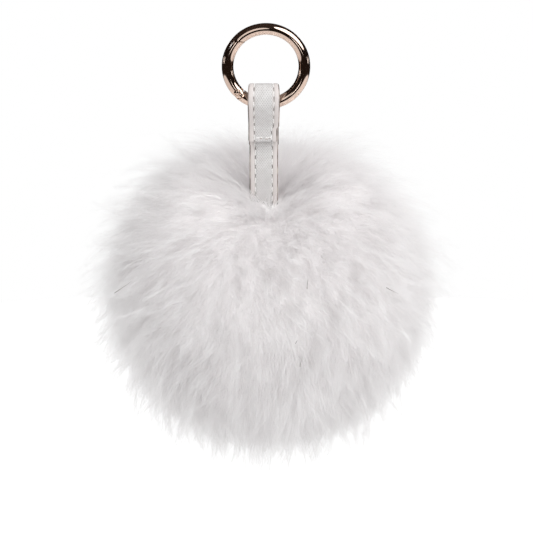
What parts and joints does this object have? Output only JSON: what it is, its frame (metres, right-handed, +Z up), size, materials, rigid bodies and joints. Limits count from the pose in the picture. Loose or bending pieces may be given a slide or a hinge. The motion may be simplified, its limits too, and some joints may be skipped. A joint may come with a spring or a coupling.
{
  "type": "fur pom-pom key charm",
  "caption": "Round white fur pom-pom on a folded leather strap, hung from a spring-gate key ring.",
  "frame": {"origin": "highest point of the inside of the ring, in the ring's middle plane, where the charm hangs", "axes": "+Z up along the hanging charm, -Y to the front, +X to the front view's right; the ring stands in the XZ plane"},
  "size_m": [0.105, 0.105, 0.1375],
  "materials": {
    "light_gold": "polished",
    "spring_steel": "satin",
    "white_leather": "satin",
    "white_thread": "matte",
    "pelt_skin": "matte",
    "wadding": "matte",
    "white_fur": "matte"
  },
  "bodies": {
    "ring": {"ring_body": "light_gold", "gate_pin": "light_gold"},
    "gate": {"ring_gate": "light_gold", "gate_spring": "spring_steel"},
    "strap": {"strap_outer_ply": "white_leather", "strap_inner_ply": "white_leather", "seam_thread_left": "white_thread", "seam_thread_right": "white_thread", "tack_left": "white_thread", "tack_right": "white_thread"},
    "ball": {"strap_tail": "white_leather", "anchor_stitch_left": "white_thread", "anchor_stitch_right": "white_thread", "gather_thread": "white_thread", "pelt_backing": "pelt_skin", "stuffing_core": "wadding", "fur_pile": "white_fur"}
  },
  "joints": [
    {"name": "gate_open", "type": "hinge", "parent": "ring", "child": "gate", "pos_m": [-0.00911, 0, -0.01847], "axis": [0, 1, 0], "range_deg": [0, 35], "stiffness_Nm_per_rad": 0.02, "springref_deg": -20.05},
    {"name": "strap_swing", "type": "hinge", "parent": "ring", "child": "strap", "pos_m": [0, 0, -0.0218], "axis": [1, 0, 0], "range_deg": [-90, 90]},
    {"name": "ball_flex", "type": "hinge", "parent": "strap", "child": "ball", "pos_m": [-0.0007, 0, -0.0615], "axis": [1, 0, 0], "range_deg": [-25, 25], "stiffness_Nm_per_rad": 0.005}
  ]
}
